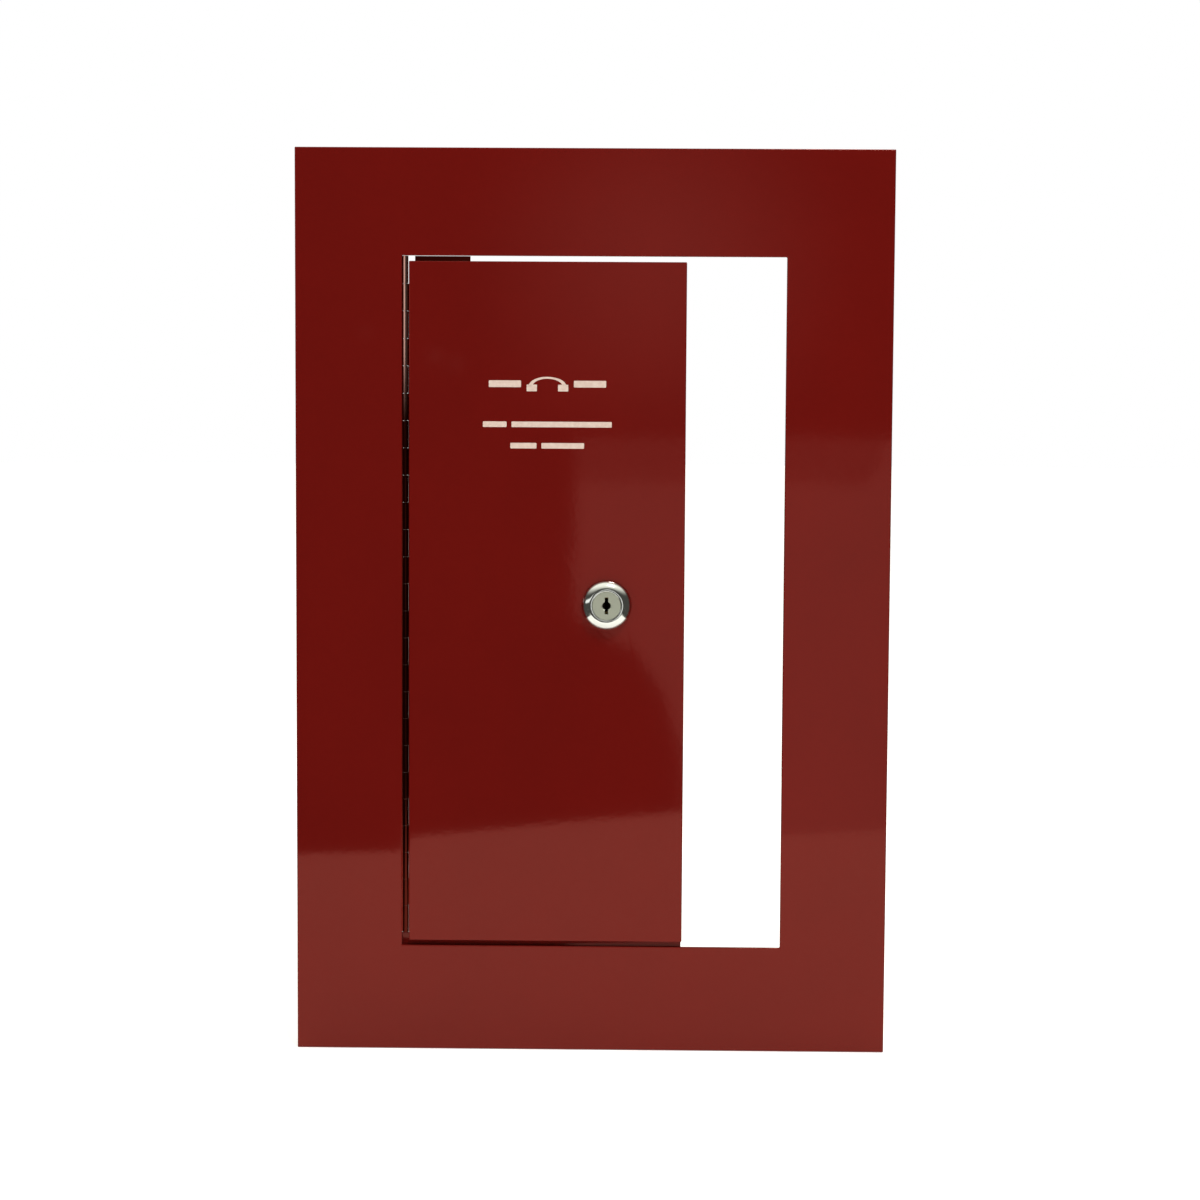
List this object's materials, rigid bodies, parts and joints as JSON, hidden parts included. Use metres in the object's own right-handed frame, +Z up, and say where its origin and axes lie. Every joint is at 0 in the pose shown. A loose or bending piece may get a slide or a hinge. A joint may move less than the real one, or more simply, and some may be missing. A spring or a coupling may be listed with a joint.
{
  "type": "emergency telephone cabinet trim and door",
  "caption": "Flush steel trim plate with a tall opening, a narrow hinged door at its left side and a round key lock; front of a recessed emergency telephone cabinet.",
  "frame": {"origin": "middle of the trim plate in the plane of its back face, which is the plane of the wall", "axes": "+X to the right as seen from the room, +Y into the wall, +Z up"},
  "size_m": [0.2666, 0.0283, 0.4064],
  "materials": {
    "red_paint": "gloss red powder coat",
    "hinge_steel": "plain rolled steel, lightly oiled",
    "hinge_wire": "drawn steel wire",
    "zinc_plate": "clear zinc plating",
    "galvanised_sheet": "galvanised sheet",
    "chrome_plate": "bright chrome plating",
    "nickel_plate": "satin nickel plating",
    "tumbler_brass": "stamped brass"
  },
  "bodies": {
    "trim": {"trim_plate": "red_paint", "hinge_leaf_trim": "hinge_steel", "hinge_pin": "hinge_wire", "trim_hinge_studs": "zinc_plate", "trim_hinge_nuts": "zinc_plate", "bracket_upper_left": "galvanised_sheet", "bracket_lower_left": "galvanised_sheet", "bracket_upper_right": "galvanised_sheet", "bracket_lower_right": "galvanised_sheet", "bracket_studs": "zinc_plate", "bracket_nuts": "zinc_plate", "door_stop_strip": "red_paint"},
    "door": {"door_panel": "red_paint", "hinge_leaf_door": "hinge_steel", "door_hinge_studs": "zinc_plate", "door_hinge_nuts": "zinc_plate", "lock_housing": "chrome_plate", "lock_tooth_washer": "zinc_plate", "lock_mounting_nut": "nickel_plate"},
    "plug": {"lock_plug": "nickel_plate", "wafer_tumbler_1": "tumbler_brass", "wafer_tumbler_2": "tumbler_brass", "wafer_tumbler_3": "tumbler_brass", "wafer_tumbler_4": "tumbler_brass", "wafer_tumbler_5": "tumbler_brass", "cam_stop_washer": "zinc_plate", "lock_cam": "zinc_plate", "cam_lock_washer": "zinc_plate", "cam_screw": "zinc_plate"}
  },
  "joints": [
    {"name": "door_swing", "type": "hinge", "parent": "trim", "child": "door", "pos_m": [-0.08413, -0.0007, 0], "axis": [0, 0, -1], "range_deg": [0, 95]},
    {"name": "key_turn", "type": "hinge", "parent": "door", "child": "plug", "pos_m": [0.00635, 0, 0], "axis": [0, -1, 0], "range_deg": [0, 90]}
  ]
}
